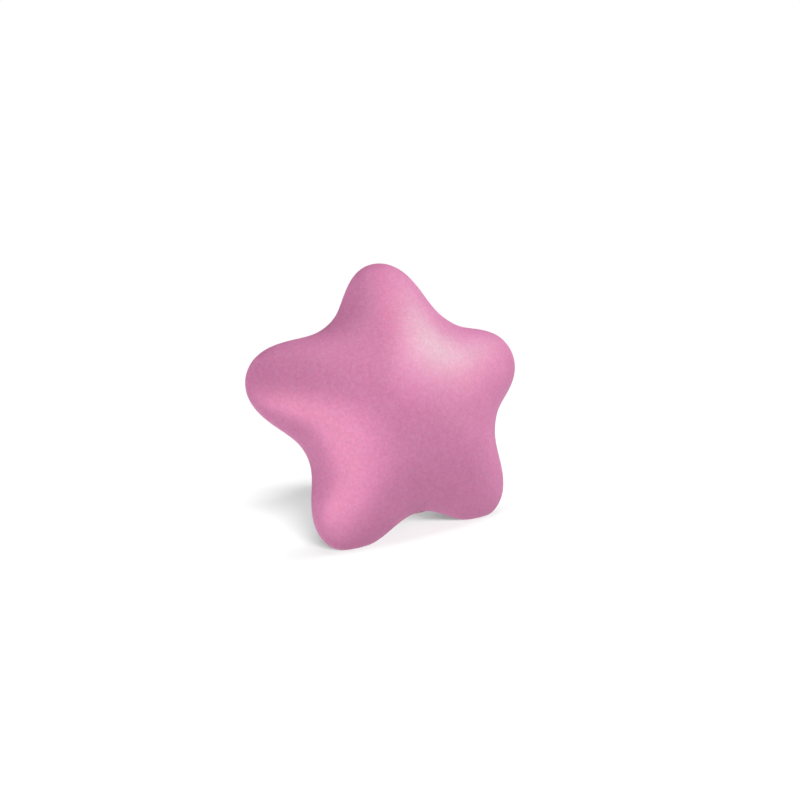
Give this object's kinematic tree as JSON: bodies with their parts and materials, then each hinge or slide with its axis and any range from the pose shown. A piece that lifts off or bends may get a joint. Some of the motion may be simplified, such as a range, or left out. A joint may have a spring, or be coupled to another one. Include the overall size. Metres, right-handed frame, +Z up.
{
  "type": "foam squeeze star",
  "caption": "Puffy soft foam star with rounded arms and a domed front and back, standing on flats under its two lower arms.",
  "frame": {"origin": "on the floor, midway between the two feet and midway between the front and back", "axes": "+Z up through the top arm, the front dome faces -Y, +X to the right as seen from the front"},
  "size_m": [0.0768, 0.0334, 0.0732],
  "materials": {
    "skin": "matte, fine grained soft skin",
    "core": "matte open foam"
  },
  "bodies": {
    "root": {"outer_skin": "skin", "foam_core": "core"}
  },
  "joints": []
}
